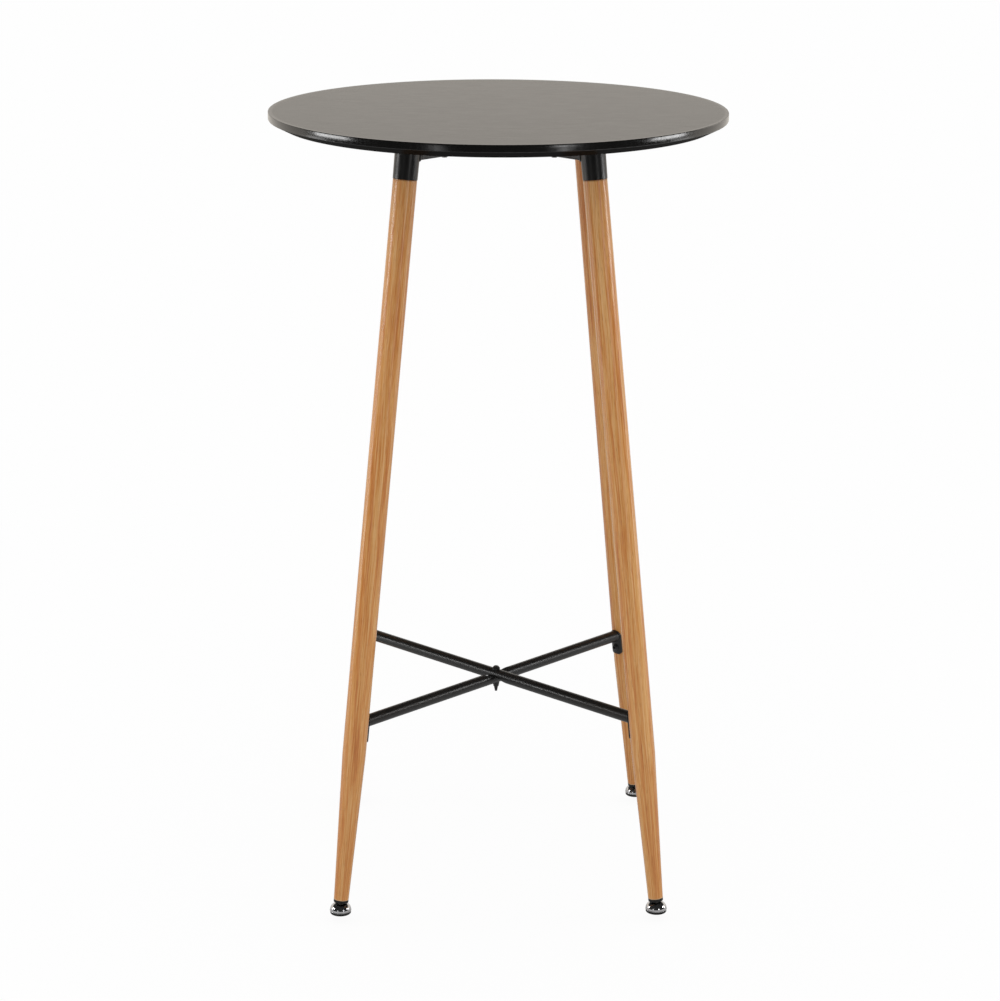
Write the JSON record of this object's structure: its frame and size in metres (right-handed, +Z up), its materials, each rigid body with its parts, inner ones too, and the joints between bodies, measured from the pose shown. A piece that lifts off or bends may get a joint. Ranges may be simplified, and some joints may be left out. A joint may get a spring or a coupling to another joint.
{
  "type": "bar table",
  "caption": "Tall round bar table: thin black top on splayed round wood-look legs in black sockets, crossed black bars low down, and chrome levelling feet.",
  "frame": {"origin": "on the floor, under the middle of the round top", "axes": "+Z up, +X to the right along the front, +Y from the front to the rear; the legs stand on the diagonals"},
  "size_m": [0.6, 0.6, 1.04],
  "materials": {
    "top_lacquer": "satin black lacquer on fibreboard",
    "black_coat": "satin black powder coat on steel tube",
    "wood_foil": "printed oak grain under satin lacquer on steel tube",
    "black_screw": "blackened steel",
    "plain_steel": "zinc plated",
    "black_plastic": "moulded, fine grain",
    "chrome_bell": "bright chrome plate",
    "pad_plastic": "moulded, dull"
  },
  "bodies": {
    "table": {"table_top": "top_lacquer", "top_inserts": "plain_steel", "frame_bolts": "black_screw", "socket_front_left": "black_coat", "socket_front_right": "black_coat", "socket_rear_right": "black_coat", "socket_rear_left": "black_coat", "frame_tube_long": "black_coat", "frame_tube_front_right": "black_coat", "frame_tube_rear_left": "black_coat", "leg_front_left": "wood_foil", "leg_front_right": "wood_foil", "leg_rear_right": "wood_foil", "leg_rear_left": "wood_foil", "crossbar_screws": "black_screw", "leg_nuts": "plain_steel", "socket_screws": "black_screw", "neck_nuts": "plain_steel", "crossbar_upper": "black_coat", "crossbar_upper_plates": "black_coat", "crossbar_lower": "black_coat", "crossbar_lower_plates": "black_coat", "crossbar_middle_screw": "black_screw", "leg_plug_front_left": "black_plastic", "leg_plug_front_right": "black_plastic", "leg_plug_rear_right": "black_plastic", "leg_plug_rear_left": "black_plastic", "plug_sleeves": "plain_steel"},
    "foot_front_left": {"glide_bell_front_left": "chrome_bell", "glide_pad_front_left": "pad_plastic"},
    "stem_front_left": {"glide_stem_front_left": "plain_steel"},
    "foot_front_right": {"glide_bell_front_right": "chrome_bell", "glide_pad_front_right": "pad_plastic"},
    "stem_front_right": {"glide_stem_front_right": "plain_steel"},
    "foot_rear_right": {"glide_bell_rear_right": "chrome_bell", "glide_pad_rear_right": "pad_plastic"},
    "stem_rear_right": {"glide_stem_rear_right": "plain_steel"},
    "foot_rear_left": {"glide_bell_rear_left": "chrome_bell", "glide_pad_rear_left": "pad_plastic"},
    "stem_rear_left": {"glide_stem_rear_left": "plain_steel"}
  },
  "joints": [
    {"name": "foot_front_left_reach", "type": "slide", "parent": "table", "child": "foot_front_left", "axis": [-0.0923, -0.0923, -0.9914], "range_m": [0, 0.01]},
    {"name": "stem_front_left_turn", "type": "hinge", "parent": "foot_front_left", "child": "stem_front_left", "pos_m": [-0.21015, -0.21015, 0.009], "axis": [-0.0923, -0.0923, -0.9914], "range_deg": [0, 2880]},
    {"name": "foot_front_right_reach", "type": "slide", "parent": "table", "child": "foot_front_right", "axis": [0.0923, -0.0923, -0.9914], "range_m": [0, 0.01]},
    {"name": "stem_front_right_turn", "type": "hinge", "parent": "foot_front_right", "child": "stem_front_right", "pos_m": [0.21015, -0.21015, 0.009], "axis": [0.0923, -0.0923, -0.9914], "range_deg": [0, 2880]},
    {"name": "foot_rear_right_reach", "type": "slide", "parent": "table", "child": "foot_rear_right", "axis": [0.0923, 0.0923, -0.9914], "range_m": [0, 0.01]},
    {"name": "stem_rear_right_turn", "type": "hinge", "parent": "foot_rear_right", "child": "stem_rear_right", "pos_m": [0.21015, 0.21015, 0.009], "axis": [0.0923, 0.0923, -0.9914], "range_deg": [0, 2880]},
    {"name": "foot_rear_left_reach", "type": "slide", "parent": "table", "child": "foot_rear_left", "axis": [-0.0923, 0.0923, -0.9914], "range_m": [0, 0.01]},
    {"name": "stem_rear_left_turn", "type": "hinge", "parent": "foot_rear_left", "child": "stem_rear_left", "pos_m": [-0.21015, 0.21015, 0.009], "axis": [-0.0923, 0.0923, -0.9914], "range_deg": [0, 2880]}
  ],
  "couplings": [
    {"joint": "stem_front_left_turn", "follows": "foot_front_left_reach", "rad_per_m": 5026.5},
    {"joint": "stem_front_right_turn", "follows": "foot_front_right_reach", "rad_per_m": 5026.5},
    {"joint": "stem_rear_right_turn", "follows": "foot_rear_right_reach", "rad_per_m": 5026.5},
    {"joint": "stem_rear_left_turn", "follows": "foot_rear_left_reach", "rad_per_m": 5026.5}
  ]
}
